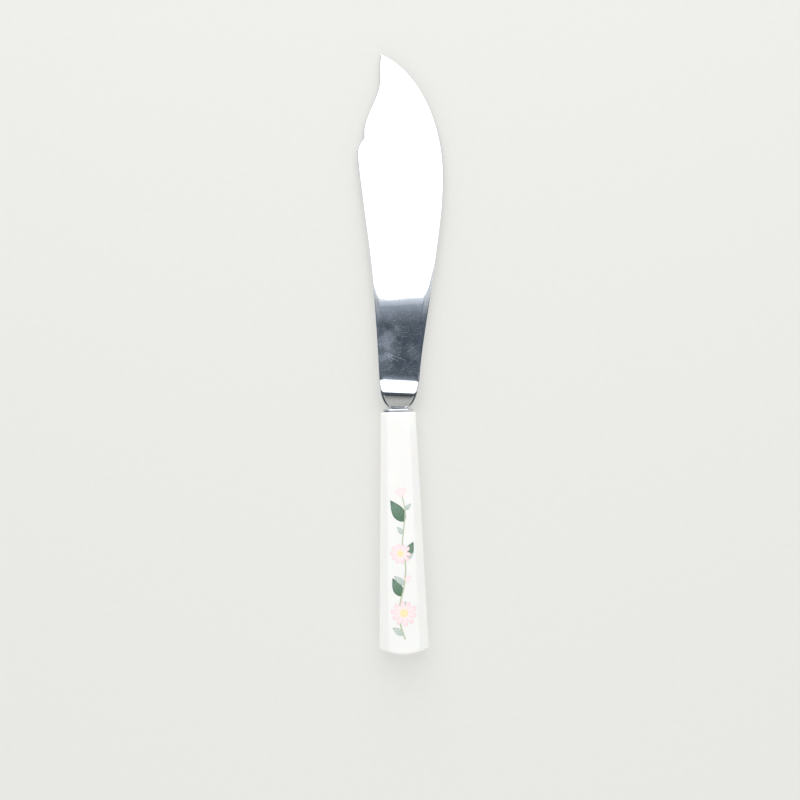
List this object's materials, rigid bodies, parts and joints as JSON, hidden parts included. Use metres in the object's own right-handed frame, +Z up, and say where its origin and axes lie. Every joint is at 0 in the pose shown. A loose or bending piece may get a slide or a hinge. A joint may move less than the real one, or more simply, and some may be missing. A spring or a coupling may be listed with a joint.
{
  "type": "cake knife",
  "caption": "Cake knife with a broad curved stainless blade, a nick in its back near the tip, a rounded bolster and a faceted, glazed bone-china handle that flares towards the butt.",
  "frame": {"origin": "on the table, under the middle of the knife's box, with the knife lying on the lower facet of its handle", "axes": "+Y along the knife towards the tip, +X towards the cutting edge, +Z up from the table"},
  "size_m": [0.0399, 0.28, 0.0171],
  "materials": {
    "blade_steel": "polished",
    "ferrule_steel": "polished",
    "bone_china": "gloss",
    "setting_cement": "matte"
  },
  "bodies": {
    "root": {"blade": "blade_steel", "ferrule": "ferrule_steel", "handle": "bone_china", "cement": "setting_cement"}
  },
  "joints": []
}
